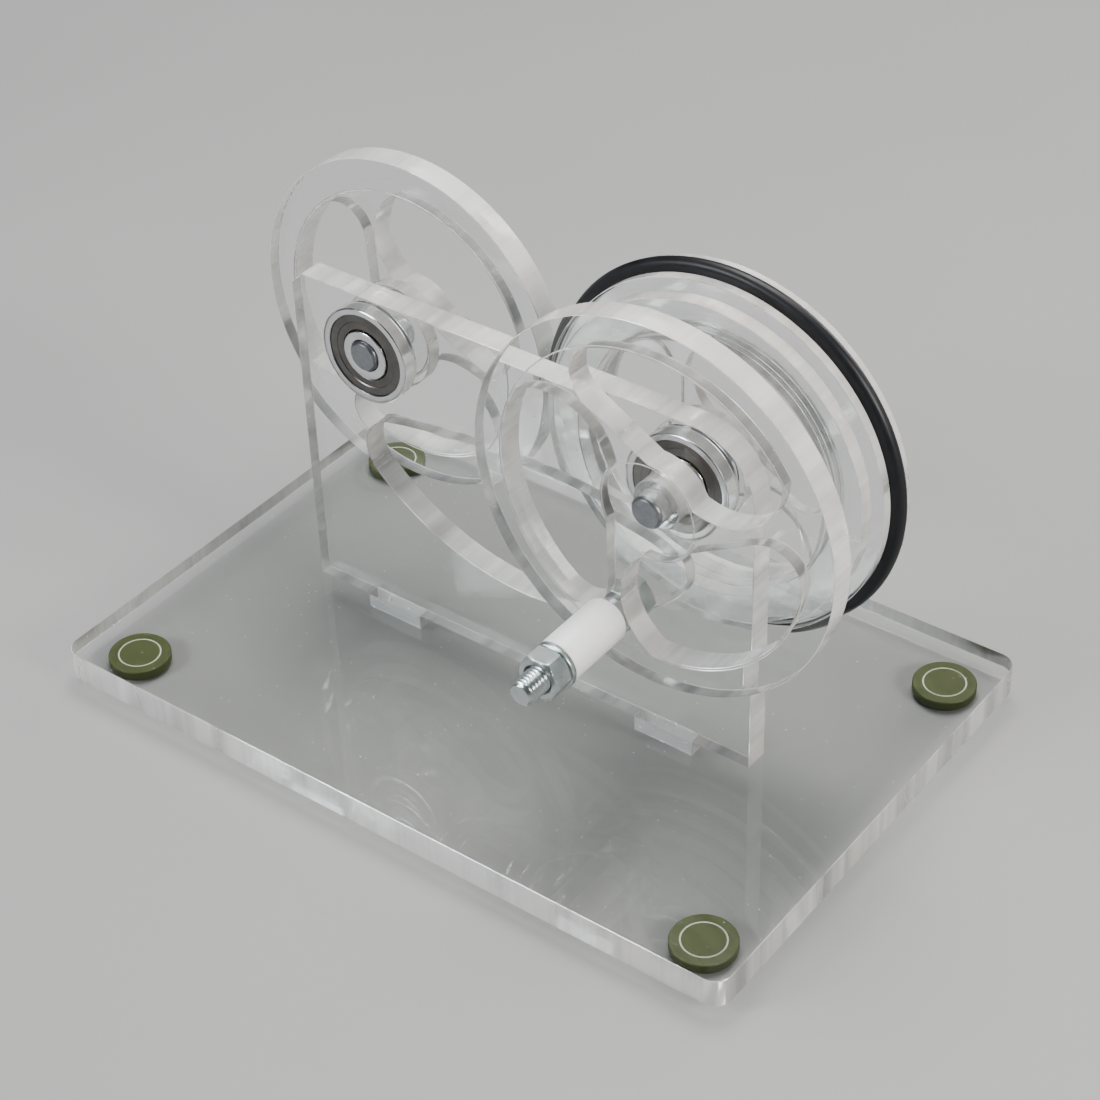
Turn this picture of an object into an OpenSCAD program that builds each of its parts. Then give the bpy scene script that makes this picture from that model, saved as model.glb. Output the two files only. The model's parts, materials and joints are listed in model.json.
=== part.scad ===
// Hand-cranked friction drive model made of clear sheet acrylic on four rubber feet.
// A slotted base holds one upright plate with two pressed-in ball bearings.
// The right axle carries a crank wheel in front and a rubber-tyred wheel behind.
// The tyre turns the wheel on the left axle.
// +X runs left to right along the base, +Y runs front to back, Z = 0 is the table.

/* [Base plate] */
// Length of the base plate
base_l = 150; // [140:1:170]
// Depth of the base plate, front to back
base_w = 100; // [90:1:120]
// Thickness of the base plate
base_t = 6; // [5:0.5:8]
// Corner radius of the base plate
base_corner = 3.5; // [1:0.5:6]

/* [Feet] */
// Diameter of a rubber foot
foot_d = 12; // [10:0.5:14]
// Height of a rubber foot
foot_h = 2.5; // [2:0.1:4]
// Distance from the plate edges to a foot's centre
foot_inset = 10; // [8:0.5:14]

/* [Upright plate] */
// Length of the upright plate
upright_l = 100; // [98:0.5:110]
// Height of the upright above the base plate
upright_h = 69; // [68:0.5:75]
// Thickness of the upright plate
upright_t = 5; // [5:0.1:6]
// Front face of the upright, from the middle of the base
upright_y = -3.6; // [-4:0.1:-3]
// Radius of its right top corner
upright_round = 13; // [8:0.5:14]
// Chamfer of its left top corner
upright_chamfer = 2.5; // [1:0.5:4]
// Width of a locating tab
tab_w = 12.5; // [8:0.5:16]
// Distance of each tab's centre from the middle
tab_x = 31.5; // [26:0.5:34]

/* [Cut-out] */
// Radius of its lower arc
cut_low_r = 47; // [46:0.5:50]
// Radius of its upper arc
cut_top_r = 141; // [130:1:160]
// Height of its lowest point above the base plate
cut_low = 17.4; // [15:0.1:20]
// Height of its highest point above the base plate
cut_top = 46.7; // [44:0.1:46.8]
// Radius of its rounded ends
cut_end_r = 7; // [5:0.5:8]

/* [Axles and bearings] */
// Height of both axles above the base plate
axle_h = 56.4; // [56:0.1:57]
// Place of the left axle along the base
left_x = -33.8; // [-34.5:0.1:-33.8]
// Place of the crank axle along the base
crank_x = 35.2; // [35.2:0.1:36]
// Diameter of both axles
axle_d = 6; // [5:0.1:6]
// Outside diameter of a ball bearing
bearing_d = 19; // [19:0.1:20]
// Width of a ball bearing
bearing_w = 6; // [5.8:0.1:6.4]
// Diameter of a bearing ball
ball_d = 3.4; // [3:0.1:3.5]
// Number of balls in a bearing
ball_n = 7; // [5:1:7]

/* [Crank wheel] */
// Outside radius of the crank wheel
crank_r = 36.1; // [34:0.1:38]
// Thickness of the crank wheel and of the left wheel
wheel_t = 5; // [4:0.1:5.5]
// Front face of the crank wheel
crank_y = -13.4; // [-15:0.1:-13]
// Radius to the outer side of a spoke window
window_r = 30.2; // [29.8:0.1:30.6]
// Radius of the hub
hub_r = 9.75; // [9:0.05:10]

/* [Left wheel] */
// Outside radius of the left wheel
left_r = 33.2; // [31:0.1:33.2]
// Front face of the left wheel
left_y = 8.4; // [7.5:0.1:9]
// Size of its windows against the crank wheel's
left_scale = 0.884; // [0.8:0.001:0.9]
// Angle that its spoke pattern is turned by
left_turn = -56; // [-60:1:60]

/* [Tyred wheel] */
// Outside radius of the rubber tyre
tyre_r = 35.6; // [34.5:0.05:35.6]
// Radial thickness of the rubber tyre
tyre_t = 2.6; // [1.6:0.1:2.8]
// Front face of the first ring
rear_y = 3.3; // [3.1:0.1:4]
// Outside radius of the first ring
ring_r = 31; // [29:0.1:32]
// Thickness of the first ring
ring_t = 3; // [2:0.1:3]
// Outside radius of the spoked disc
disc_r = 33.4; // [33.1:0.1:34]
// Thickness of the spoked disc
disc_t = 2; // [1.5:0.1:3]
// Thickness of the ring under the tyre
core_t = 2.5; // [2:0.1:3.5]
// Outside radius of the back flange
flange_r = 34.8; // [33.4:0.1:35]
// Thickness of the back flange
flange_t = 1.5; // [1:0.1:3]
// Size of its windows against the crank wheel's
rear_scale = 0.811; // [0.75:0.001:0.85]
// Angle that its spoke pattern is turned by
rear_turn = -60; // [-60:1:60]

/* [Handle] */
// Handle centre, to the left of the crank axle
handle_u = 8.5; // [8.2:0.1:8.8]
// Handle centre, below the crank axle
handle_v = 26.2; // [25.8:0.1:26.6]
// Outside diameter of the sleeve
sleeve_d = 8.6; // [8:0.1:10]
// Length of the sleeve
sleeve_l = 14.8; // [12:0.1:18]
// Diameter of the handle bolt
bolt_d = 5; // [4:0.1:5]
// Length of the handle bolt under its head
bolt_l = 30; // [28:1:35]
// Width across flats of the bolt head and the nut
hex_flats = 8; // [7:0.5:8]
// Height of the bolt head
head_h = 3.5; // [2.5:0.1:4]
// Height of the nut
nut_h = 4; // [3:0.1:5]
// Outside diameter of the washer
washer_d = 9.2; // [9:0.1:10]
// Thickness of the washer
washer_t = 1; // [0.8:0.1:1.2]

/* [Hidden] */
$fn = 96;
eps = 0.01;
// Clearance of a pushed-together fit, on the radius
fit = 0.04;
// Clearance of a turning fit, on the radius
running = 0.15;
base_z = foot_h;
top_z = base_z + base_t;
axle_z = top_z + axle_h;
axle_r = axle_d / 2;
bearing_r = bearing_d / 2;
ball_r = ball_d / 2;
bearing_back = upright_y + bearing_w;
// Bearing section: shoulder radii of the races and the ball circle
inner_race_r = 4.9;
outer_race_r = 7.6;
shield_seat_r = 8.2;
ball_circle_r = (inner_race_r + outer_race_r) / 2;
groove_r = ball_r + running;
shield_t = 0.3;
shield_in = 0.25;
race_bevel = 0.3;
cage_wall = 0.75;
cage_half = 2.1;
// Small washers bear on the inner races only
hub_washer_r = 4.6;
disc_y = rear_y + ring_t;
core_y = disc_y + disc_t;
flange_y = core_y + core_t;
rear_end = flange_y + flange_t;
core_r = tyre_r - tyre_t;
rear_bore_r = window_r * rear_scale;
left_disc_t = 3;
// How far an axle end stands out of a face
axle_proud = 0.6;
handle_x = crank_x - handle_u;
handle_z = axle_z - handle_v;
sleeve_front = crank_y - running - sleeve_l;
washer_front = sleeve_front - running - washer_t;
nut_front = washer_front - nut_h;
bolt_r = bolt_d / 2;
bolt_front = crank_y + wheel_t - bolt_l;
// Spoke window of the crank wheel, seen from the front with the axle at the origin
side_u = -8.5;
corner_r = 6.2;
big_r = 12.5;
big_centre = [-20.3, 3.65];
cut_x = (left_x + crank_x) / 2;

// Points along a circular arc
function arc(c, r, from, to, n) =
    [for (i = [0:n]) let (a = from + (to - from) * i / n) [c[0] + r * cos(a), c[1] + r * sin(a)]];
// Angle of a point seen from another
function bearing_of(p, c = [0, 0]) = atan2(p[1] - c[1], p[0] - c[0]);
// Angle between the line of centres and the crossing of circles a (at the origin) and b
function crossing(a, d, b) = acos((a * a + d * d - b * b) / (2 * a * d));

// One spoke window: hub arc, straight side, small corner, rim arc, then the large end
function window_outline() =
    let (corner_v = -sqrt(pow(window_r - corner_r, 2) - pow(side_u - corner_r, 2)),
         corner = [side_u - corner_r, corner_v],
         touch = bearing_of(corner),
         big_d = norm(big_centre),
         big_a = bearing_of(big_centre),
         rim_a = big_a - crossing(window_r, big_d, big_r),
         hub_a = big_a - crossing(hub_r, big_d, big_r),
         rim_p = window_r * [cos(rim_a), sin(rim_a)],
         hub_p = hub_r * [cos(hub_a), sin(hub_a)],
         side_a = 180 + acos(-side_u / hub_r))
    concat(arc(corner, corner_r, 0, touch, 10),
           arc([0, 0], window_r, 359 + touch, rim_a, 24),
           arc(big_centre, big_r, bearing_of(rim_p, big_centre) - 3, bearing_of(hub_p, big_centre), 16),
           arc([0, 0], hub_r, hub_a + 2, side_a, 10));

// Lens-shaped cut-out of the upright: two long arcs joined by round ends
function cutout_outline() =
    let (low_c = [0, cut_low + cut_low_r],
         top_c = [0, cut_top - cut_top_r],
         d = low_c[1] - top_c[1],
         low_d = cut_low_r - cut_end_r,
         top_d = cut_top_r - cut_end_r,
         end_v = top_c[1] + (top_d * top_d - low_d * low_d + d * d) / (2 * d),
         end_u = sqrt(top_d * top_d - pow(end_v - top_c[1], 2)),
         end_c = [end_u, end_v],
         low_a = bearing_of(end_c, low_c),
         top_a = bearing_of(end_c, top_c))
    concat(arc(low_c, cut_low_r, -180 - low_a, low_a, 36),
           arc(end_c, cut_end_r, low_a + 8, top_a - 8, 10),
           arc(top_c, cut_top_r, top_a, 180 - top_a, 20),
           arc([-end_u, end_v], cut_end_r, 188 - top_a, 172 - low_a, 10));

// A plate standing in the X-Z plane, cut from a sheet t thick with its front face at y
module sheet_at(x, y, z, t) {
    translate([x, y + t, z]) rotate([90, 0, 0]) linear_extrude(t) children();
}

// A turned piece about an axle line: its profile is [radius, distance behind y]
module turned_at(x, y, z) {
    translate([x, y, z]) rotate([-90, 0, 0]) rotate_extrude() children();
}

module disc_outline(outer_r, bore_r) {
    difference() {
        circle(r = outer_r);
        circle(r = bore_r);
    }
}

module windows(scale_by, flip) {
    for (k = [0:2])
        rotate(120 * k)
            mirror([flip, 0])
                scale(scale_by)
                    polygon(window_outline());
}

module base_plate() {
    color([0.93, 0.94, 0.92, 0.35])
        translate([0, 0, base_z])
            linear_extrude(base_t)
                difference() {
                    union() {
                        square([base_l - 2 * base_corner, base_w], center = true);
                        square([base_l, base_w - 2 * base_corner], center = true);
                        for (sx = [-1, 1], sy = [-1, 1])
                            translate([sx * (base_l / 2 - base_corner), sy * (base_w / 2 - base_corner)])
                                circle(r = base_corner);
                    }
                    for (s = [-1, 1])
                        translate([s * tab_x - tab_w / 2 - fit, upright_y - fit])
                            square([tab_w + 2 * fit, upright_t + 2 * fit]);
                }
}

module upright_plate() {
    half = upright_l / 2;
    color([0.9, 0.93, 0.93, 0.35])
        sheet_at(0, upright_y, top_z, upright_t)
            difference() {
                union() {
                    polygon([[-half, 0], [half, 0], [half, upright_h - upright_round],
                             [half - upright_round, upright_h], [upright_chamfer - half, upright_h],
                             [-half, upright_h - upright_chamfer]]);
                    translate([half - upright_round, upright_h - upright_round])
                        circle(r = upright_round);
                    for (s = [-1, 1])
                        translate([s * tab_x - tab_w / 2, -base_t])
                            square([tab_w, base_t + eps]);
                }
                for (x = [left_x, crank_x])
                    translate([x, axle_h])
                        circle(r = bearing_r + fit);
                translate([cut_x, 0])
                    polygon(cutout_outline());
            }
}

module foot(sx, sy) {
    r = foot_d / 2;
    color([0.32, 0.36, 0.1, 0.7])
        translate([sx * (base_l / 2 - foot_inset), sy * (base_w / 2 - foot_inset), 0])
            rotate_extrude()
                polygon([[0, 0], [r - 0.9, 0], [r - 0.25, 0.25], [r, 0.9], [r, foot_h],
                         [4.2, foot_h], [4.2, foot_h - 0.3], [3.8, foot_h - 0.3], [3.8, foot_h],
                         [0, foot_h]]);
}

module foot_front_left() { foot(-1, -1); }
module foot_front_right() { foot(1, -1); }
module foot_back_left() { foot(-1, 1); }
module foot_back_right() { foot(1, 1); }

module outer_race(x) {
    b = race_bevel;
    w = bearing_w;
    seat = shield_in + shield_t;
    color("silver")
        turned_at(x, upright_y, axle_z)
            difference() {
                polygon([[outer_race_r, seat], [shield_seat_r, seat], [shield_seat_r, 0],
                         [bearing_r - b, 0], [bearing_r, b], [bearing_r, w - b], [bearing_r - b, w],
                         [shield_seat_r, w], [shield_seat_r, w - seat], [outer_race_r, w - seat]]);
                translate([ball_circle_r, w / 2]) circle(r = groove_r);
            }
}

module inner_race(x) {
    b = race_bevel;
    w = bearing_w;
    r = axle_r + fit;
    color("silver")
        turned_at(x, upright_y, axle_z)
            difference() {
                polygon([[r + b, 0], [inner_race_r - b, 0], [inner_race_r, b], [inner_race_r, w - b],
                         [inner_race_r - b, w], [r + b, w], [r, w - b], [r, b]]);
                translate([ball_circle_r, w / 2]) circle(r = groove_r);
            }
}

module balls(x, r) {
    for (i = [0:ball_n - 1])
        translate([x, upright_y + bearing_w / 2, axle_z])
            rotate([0, 360 * i / ball_n, 0])
                translate([ball_circle_r, 0, 0])
                    sphere(r = r, $fn = 48);
}

module cage(x) {
    color("goldenrod")
        difference() {
            turned_at(x, upright_y + bearing_w / 2 - cage_half, axle_z)
                translate([ball_circle_r - cage_wall, 0])
                    square([2 * cage_wall, 2 * cage_half]);
            balls(x, ball_r + 0.08);
        }
}

module shield(x, y) {
    color("dimgray")
        turned_at(x, y, axle_z)
            translate([inner_race_r + running, 0])
                square([shield_seat_r - fit - inner_race_r - running, shield_t]);
}

module left_bearing_outer_race() { outer_race(left_x); }
module left_bearing_inner_race() { inner_race(left_x); }
module left_bearing_balls() { color("gainsboro") balls(left_x, ball_r); }
module left_bearing_cage() { cage(left_x); }
module left_bearing_front_shield() { shield(left_x, upright_y + shield_in); }
module left_bearing_back_shield() { shield(left_x, bearing_back - shield_in - shield_t); }
module right_bearing_outer_race() { outer_race(crank_x); }
module right_bearing_inner_race() { inner_race(crank_x); }
module right_bearing_balls() { color("gainsboro") balls(crank_x, ball_r); }
module right_bearing_cage() { cage(crank_x); }
module right_bearing_front_shield() { shield(crank_x, upright_y + shield_in); }
module right_bearing_back_shield() { shield(crank_x, bearing_back - shield_in - shield_t); }

// A plain steel rod with bevelled ends, from y to y_end
module axle(x, y, y_end) {
    b = 0.4;
    l = y_end - y;
    color("gray")
        turned_at(x, y, axle_z)
            polygon([[0, 0], [axle_r - b, 0], [axle_r, b], [axle_r, l - b], [axle_r - b, l], [0, l]]);
}

// A flat ring on an axle
module ring_on(x, y, t, outer_r, bore_r) {
    turned_at(x, y, axle_z)
        translate([bore_r, 0])
            square([outer_r - bore_r, t]);
}

module left_axle() { axle(left_x, upright_y - axle_proud, left_y + wheel_t + axle_proud); }

module left_hub_washer() {
    color("whitesmoke")
        ring_on(left_x, bearing_back, left_y - left_disc_t - bearing_back, hub_washer_r, axle_r + fit);
}

module left_hub_disc() {
    color([0.9, 0.93, 0.93, 0.35])
        ring_on(left_x, left_y - left_disc_t, left_disc_t, hub_r, axle_r + fit);
}

module left_wheel() {
    color([0.9, 0.93, 0.93, 0.35])
        sheet_at(left_x, left_y, axle_z, wheel_t)
            difference() {
                disc_outline(left_r, axle_r + fit);
                rotate(left_turn) windows(left_scale, 1);
            }
}

module crank_axle() { axle(crank_x, crank_y - axle_proud, rear_end + axle_proud); }

module crank_hub_washer() {
    y = crank_y + wheel_t;
    color("whitesmoke")
        ring_on(crank_x, y, upright_y - y, hub_washer_r, axle_r + fit);
}

module crank_wheel() {
    color([0.9, 0.93, 0.93, 0.35])
        sheet_at(crank_x, crank_y, axle_z, wheel_t)
            difference() {
                disc_outline(crank_r, axle_r + fit);
                windows(1, 0);
                translate([-handle_u, -handle_v]) circle(r = bolt_r + fit);
            }
}

module rear_hub_washer() {
    color("whitesmoke")
        ring_on(crank_x, bearing_back, rear_y - bearing_back, hub_washer_r, axle_r + fit);
}

module rear_hub_disc() {
    color([0.9, 0.93, 0.93, 0.35])
        ring_on(crank_x, rear_y, ring_t, hub_r, axle_r + fit);
}

module rear_front_ring() {
    color([0.9, 0.93, 0.93, 0.35])
        ring_on(crank_x, rear_y, ring_t, ring_r, rear_bore_r);
}

module rear_spoked_disc() {
    color([0.9, 0.93, 0.93, 0.35])
        sheet_at(crank_x, disc_y, axle_z, disc_t)
            difference() {
                disc_outline(disc_r, axle_r + fit);
                rotate(rear_turn) windows(rear_scale, 1);
            }
}

module rear_core_ring() {
    color([0.9, 0.93, 0.93, 0.35])
        ring_on(crank_x, core_y, core_t, core_r, rear_bore_r);
}

module rear_tyre() {
    round_r = core_t / 2;
    color([0.05, 0.05, 0.06])
        turned_at(crank_x, core_y, axle_z)
            union() {
                translate([core_r + fit, 0]) square([tyre_t - round_r - fit, core_t]);
                translate([tyre_r - round_r, round_r]) circle(r = round_r);
            }
}

module rear_flange() {
    color([0.9, 0.93, 0.93, 0.35])
        ring_on(crank_x, flange_y, flange_t, flange_r, rear_bore_r);
}

module hexagon(flats) { circle(d = flats / cos(30), $fn = 6); }

module handle_bolt() {
    head_y = crank_y + wheel_t;
    b = 0.5;
    color("lightsteelblue")
        union() {
            sheet_at(handle_x, head_y, handle_z, head_h) hexagon(hex_flats);
            turned_at(handle_x, bolt_front, handle_z)
                polygon([[0, 0], [bolt_r - b, 0], [bolt_r, b], [bolt_r, bolt_l + eps], [0, bolt_l + eps]]);
        }
}

module handle_sleeve() {
    b = 0.4;
    r = sleeve_d / 2;
    bore = bolt_r + running;
    color("white")
        turned_at(handle_x, sleeve_front, handle_z)
            polygon([[bore, 0], [r - b, 0], [r, b], [r, sleeve_l - b], [r - b, sleeve_l],
                     [bore, sleeve_l]]);
}

module handle_washer() {
    color("silver")
        turned_at(handle_x, washer_front, handle_z)
            translate([bolt_r + running, 0])
                square([washer_d / 2 - bolt_r - running, washer_t]);
}

module handle_nut() {
    color("lightsteelblue")
        sheet_at(handle_x, nut_front, handle_z, nut_h)
            difference() {
                hexagon(hex_flats);
                circle(r = bolt_r + fit);
            }
}

base_plate();
upright_plate();
foot_front_left();
foot_front_right();
foot_back_left();
foot_back_right();
left_bearing_outer_race();
left_bearing_inner_race();
left_bearing_balls();
left_bearing_cage();
left_bearing_front_shield();
left_bearing_back_shield();
right_bearing_outer_race();
right_bearing_inner_race();
right_bearing_balls();
right_bearing_cage();
right_bearing_front_shield();
right_bearing_back_shield();
left_axle();
left_hub_washer();
left_hub_disc();
left_wheel();
crank_axle();
crank_hub_washer();
crank_wheel();
rear_hub_washer();
rear_hub_disc();
rear_front_ring();
rear_spoked_disc();
rear_core_ring();
rear_tyre();
rear_flange();
handle_bolt();
handle_sleeve();
handle_washer();
handle_nut();
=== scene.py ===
import json
import math

import bmesh
import bpy
import numpy as np
from mathutils import Matrix, Vector
from mathutils.geometry import delaunay_2d_cdt


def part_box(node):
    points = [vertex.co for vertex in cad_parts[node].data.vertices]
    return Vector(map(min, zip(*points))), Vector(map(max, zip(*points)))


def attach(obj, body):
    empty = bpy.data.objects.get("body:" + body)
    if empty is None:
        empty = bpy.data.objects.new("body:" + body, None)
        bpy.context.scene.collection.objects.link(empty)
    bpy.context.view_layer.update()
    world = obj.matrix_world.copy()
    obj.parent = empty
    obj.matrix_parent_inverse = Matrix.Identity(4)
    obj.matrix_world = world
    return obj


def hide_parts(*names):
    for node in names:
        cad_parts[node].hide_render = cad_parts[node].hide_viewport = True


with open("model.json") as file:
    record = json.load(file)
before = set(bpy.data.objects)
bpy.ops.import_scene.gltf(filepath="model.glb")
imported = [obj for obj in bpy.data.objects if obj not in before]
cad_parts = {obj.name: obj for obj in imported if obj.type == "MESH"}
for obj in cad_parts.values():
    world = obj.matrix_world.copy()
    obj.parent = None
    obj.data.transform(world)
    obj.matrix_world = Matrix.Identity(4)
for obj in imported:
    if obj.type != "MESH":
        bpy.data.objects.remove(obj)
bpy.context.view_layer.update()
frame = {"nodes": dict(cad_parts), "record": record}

# ---------------------------------------------------------------------------------------
# Camera, pale table and studio light. The camera stands to the right of the crank handle
# and looks down on it, with a slight roll.
# ---------------------------------------------------------------------------------------
mm = 0.001
camera_place = (229.5, -288.4, 315.8)
camera_azimuth = 37.995
camera_elevation = 37.483
camera_roll = -2.061
lens = 83.45

camera = bpy.data.objects.new("camera", bpy.data.cameras.new("camera"))
camera.data.lens = lens
camera.data.sensor_width = 36
camera.data.clip_start = 0.01
turn = Matrix.Rotation(math.radians(camera_azimuth), 4, "Z")
tilt = Matrix.Rotation(math.radians(90 - camera_elevation), 4, "X")
roll = Matrix.Rotation(math.radians(camera_roll), 4, "Z")
camera.matrix_world = Matrix.Translation(Vector(camera_place) * mm) @ turn @ tilt @ roll
scene = bpy.context.scene
scene.collection.objects.link(camera)
scene.camera = camera
scene.cycles.max_bounces = 32
scene.cycles.transmission_bounces = 32
scene.cycles.glossy_bounces = 10
scene.cycles.transparent_max_bounces = 48
scene.cycles.caustics_refractive = False
scene.cycles.caustics_reflective = False
scene.view_settings.look = "AgX - Medium High Contrast"


class Wire:
    """A socket of a material's nodes. The signs + - * and ** on wires add Math nodes, and node() adds any
    other kind."""

    def __init__(self, tree, socket=None):
        self.tree = tree
        self.socket = socket

    def node(self, kind, settings=None, sockets=None, out=0):
        """A new node's output. The settings are set first, then its sockets get their values or wires."""
        made = self.tree.nodes.new(kind)
        for name, value in (settings or {}).items():
            if name == "stops":
                stops = made.color_ramp.elements
                while len(stops) < len(value):
                    stops.new(1)
                for stop, (place, colour) in zip(stops, value):
                    stop.position = place
                    stop.color = colour
            else:
                setattr(made, name, value)
        for key, value in (sockets or {}).items():
            if isinstance(value, Wire):
                self.tree.links.new(value.socket, made.inputs[key])
            else:
                made.inputs[key].default_value = value
        return Wire(self.tree, made.outputs[out])

    def maths(self, operation, *values, clamp=False):
        """A Math node of that operation on the values or wires."""
        settings = {"operation": operation, "use_clamp": clamp}
        return self.node("ShaderNodeMath", settings, dict(enumerate(values)))

    def __add__(self, other):
        return self.maths("ADD", self, other)

    def __sub__(self, other):
        return self.maths("SUBTRACT", self, other)

    def __rsub__(self, other):
        return self.maths("SUBTRACT", other, self)

    def __mul__(self, other):
        return self.maths("MULTIPLY", self, other)

    def __pow__(self, other):
        return self.maths("POWER", self, other)

    def above(self, level):
        """1 where the wire is over the level, else 0."""
        return self.maths("GREATER_THAN", self, level)

    def below(self, level):
        """1 where the wire is under the level, else 0."""
        return self.maths("LESS_THAN", self, level)

    __radd__ = __add__
    __rmul__ = __mul__


def new_finish(name):
    """An empty material and the wire that starts its nodes."""
    finish = bpy.data.materials.new(name)
    finish.use_nodes = True
    finish.node_tree.nodes.clear()
    return finish, Wire(finish.node_tree)


def blend_colour(share, first, second):
    """The colour that share of the way from first to second gives."""
    return share.node(
        "ShaderNodeMix", {"data_type": "RGBA"}, {0: share, 6: (*first, 1), 7: (*second, 1)}, out=2
    )


def noise(start, place, scale, stretch=(1, 1, 1), detail=2.0, rough=0.5):
    """Cloudy noise from 0 to 1, scale times per metre, stretched along the axes."""
    spread = start.node("ShaderNodeMapping", {}, {"Vector": place, "Scale": stretch})
    return start.node(
        "ShaderNodeTexNoise", {}, {"Vector": spread, "Scale": scale, "Detail": detail, "Roughness": rough}
    )


def shine(start, sockets):
    """A Principled shader with those sockets."""
    return start.node("ShaderNodeBsdfPrincipled", {}, sockets)


def end_with(start, surface):
    """Sends a shader to the material's output."""
    output = start.tree.nodes.new("ShaderNodeOutputMaterial")
    start.tree.links.new(surface.socket, output.inputs["Surface"])


table_finish, wires = new_finish("table_paint")
place = wires.node("ShaderNodeTexCoord", out="Object")
cloud = noise(wires, place, 9, detail=3)
end_with(wires, shine(wires, {
    "Base Color": blend_colour(cloud, (0.335, 0.335, 0.33), (0.36, 0.36, 0.355)),
    "Roughness": 0.55 + cloud * 0.1,
}))
reach = 2.5
table_corners = [(-reach, -reach, 0), (reach, -reach, 0), (reach, reach, 0), (-reach, reach, 0)]
table_mesh = bpy.data.meshes.new("table")
table_mesh.from_pydata(table_corners, [], [(0, 1, 2, 3)])
table_mesh.materials.append(table_finish)
table_top = bpy.data.objects.new("table", table_mesh)
scene.collection.objects.link(table_top)

scene.world = bpy.data.worlds.new("studio")
scene.world.use_nodes = True
backdrop = scene.world.node_tree.nodes["Background"]
backdrop.inputs["Color"].default_value = (0.75, 0.82, 0.92, 1)
sky = Wire(scene.world.node_tree)
mirrored = sky.node("ShaderNodeLightPath", out="Is Glossy Ray")
refracted = sky.node("ShaderNodeLightPath", out="Is Transmission Ray")
pale_sky, dark_sky = 0.26, 0.10
sky_light = pale_sky - sky.maths("ADD", mirrored, refracted, clamp=True) * (pale_sky - dark_sky)
sky.tree.links.new(sky_light.socket, backdrop.inputs["Strength"])


def soft_box(name, place, aim, size, power, colour):
    """A square studio lamp at place, turned to face aim; lengths in metres."""
    lamp = bpy.data.objects.new(name, bpy.data.lights.new(name, "AREA"))
    lamp.data.size = size
    lamp.data.energy = power
    lamp.data.color = colour
    facing = (Vector(aim) - Vector(place)).to_track_quat("-Z", "Y").to_matrix().to_4x4()
    lamp.matrix_world = Matrix.Translation(place) @ facing
    scene.collection.objects.link(lamp)


soft_box("top_lamp", (-0.10, 0.20, 0.80), (0, 0, 0.03), 0.45, 6.0, (1.0, 0.98, 0.95))
soft_box("right_lamp", (0.75, -0.05, 0.40), (0, 0, 0.05), 0.22, 4.8, (1.0, 0.97, 0.93))
soft_box("front_lamp", (-0.45, -0.75, 0.50), (0, 0, 0.04), 0.30, 6.0, (0.94, 0.97, 1.0))
soft_box("back_lamp", (0.10, 0.85, 0.30), (0, 0, 0.05), 0.40, 2.0, (1.0, 1.0, 1.0))

# ---------------------------------------------------------------------------------------
# Base plate: a 6 mm clear cast acrylic sheet, laser cut, with flame-bright edges, rounded
# corners and two slots for the upright's tabs. It is dusty and lightly scuffed on top.
# ---------------------------------------------------------------------------------------
sheet_bevel = 0.12
glue_gap = 0.03
tab_gap = 0.04
base_corner = 3.5
tab_middle = 31.5
tab_width = 12.5


def span(node):
    """Lowest and highest corner of a CAD node, in millimetres."""
    low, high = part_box(node)
    return np.array(low) / mm, np.array(high) / mm


def arc(centre, radius, start, end, count):
    """Points at centre + radius (cos a, sin a), for count angles from start to end in degrees."""
    angle = np.radians(np.linspace(start, end, count))
    return np.stack([centre[0] + radius * np.cos(angle), centre[1] + radius * np.sin(angle)], 1)


def circle(centre, radius, count=256):
    """A closed ring of points on a circle."""
    return arc(centre, radius, 0, 360, count + 1)[:-1]


def closed_loop(points, anticlockwise):
    """The points as a closed loop without repeats, turning the way asked."""
    gap = np.linalg.norm(points - np.roll(points, 1, 0), axis=1)
    points = points[gap > 1e-4]
    ahead = np.roll(points, -1, 0)
    area = (points[:, 0] * ahead[:, 1] - ahead[:, 0] * points[:, 1]).sum()
    return points if (area > 0) == anticlockwise else points[::-1]


def inset(loop, by):
    """The loop moved to its left: each point goes where its two edges meet once both have moved so far."""
    ahead = np.roll(loop, -1, 0) - loop
    left = np.stack([-ahead[:, 1], ahead[:, 0]], 1) / np.linalg.norm(ahead, axis=1)[:, None]
    mean = left + np.roll(left, 1, 0)
    return loop + by * mean / (mean * left).sum(1)[:, None]


def inside(points, loop):
    """True for each point that a ray to the right leaves through the loop an odd number of times."""
    x, y = points[:, 0, None], points[:, 1, None]
    x0, y0 = loop.T
    x1, y1 = np.roll(loop, -1, 0).T
    crosses = (y0 > y) != (y1 > y)
    slope = np.where(y1 == y0, 1, y1 - y0)
    return ((crosses & (x < x0 + (y - y0) * (x1 - x0) / slope)).sum(1) % 2) == 1


def make_piece(name, points, faces, finishes, marks=None, crease=28):
    """A smooth-shaded mesh object from points in millimetres; marks gives each face's finish."""
    mesh = bpy.data.meshes.new(name)
    mesh.from_pydata((points * mm).tolist(), [], faces)
    for finish in finishes:
        mesh.materials.append(finish)
    if marks is not None:
        mesh.polygons.foreach_set("material_index", np.asarray(marks, dtype=np.int32))
    mesh.shade_smooth()
    mesh.set_sharp_from_angle(angle=math.radians(crease))
    mesh.update()
    piece = bpy.data.objects.new(name, mesh)
    scene.collection.objects.link(piece)
    return piece


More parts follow.
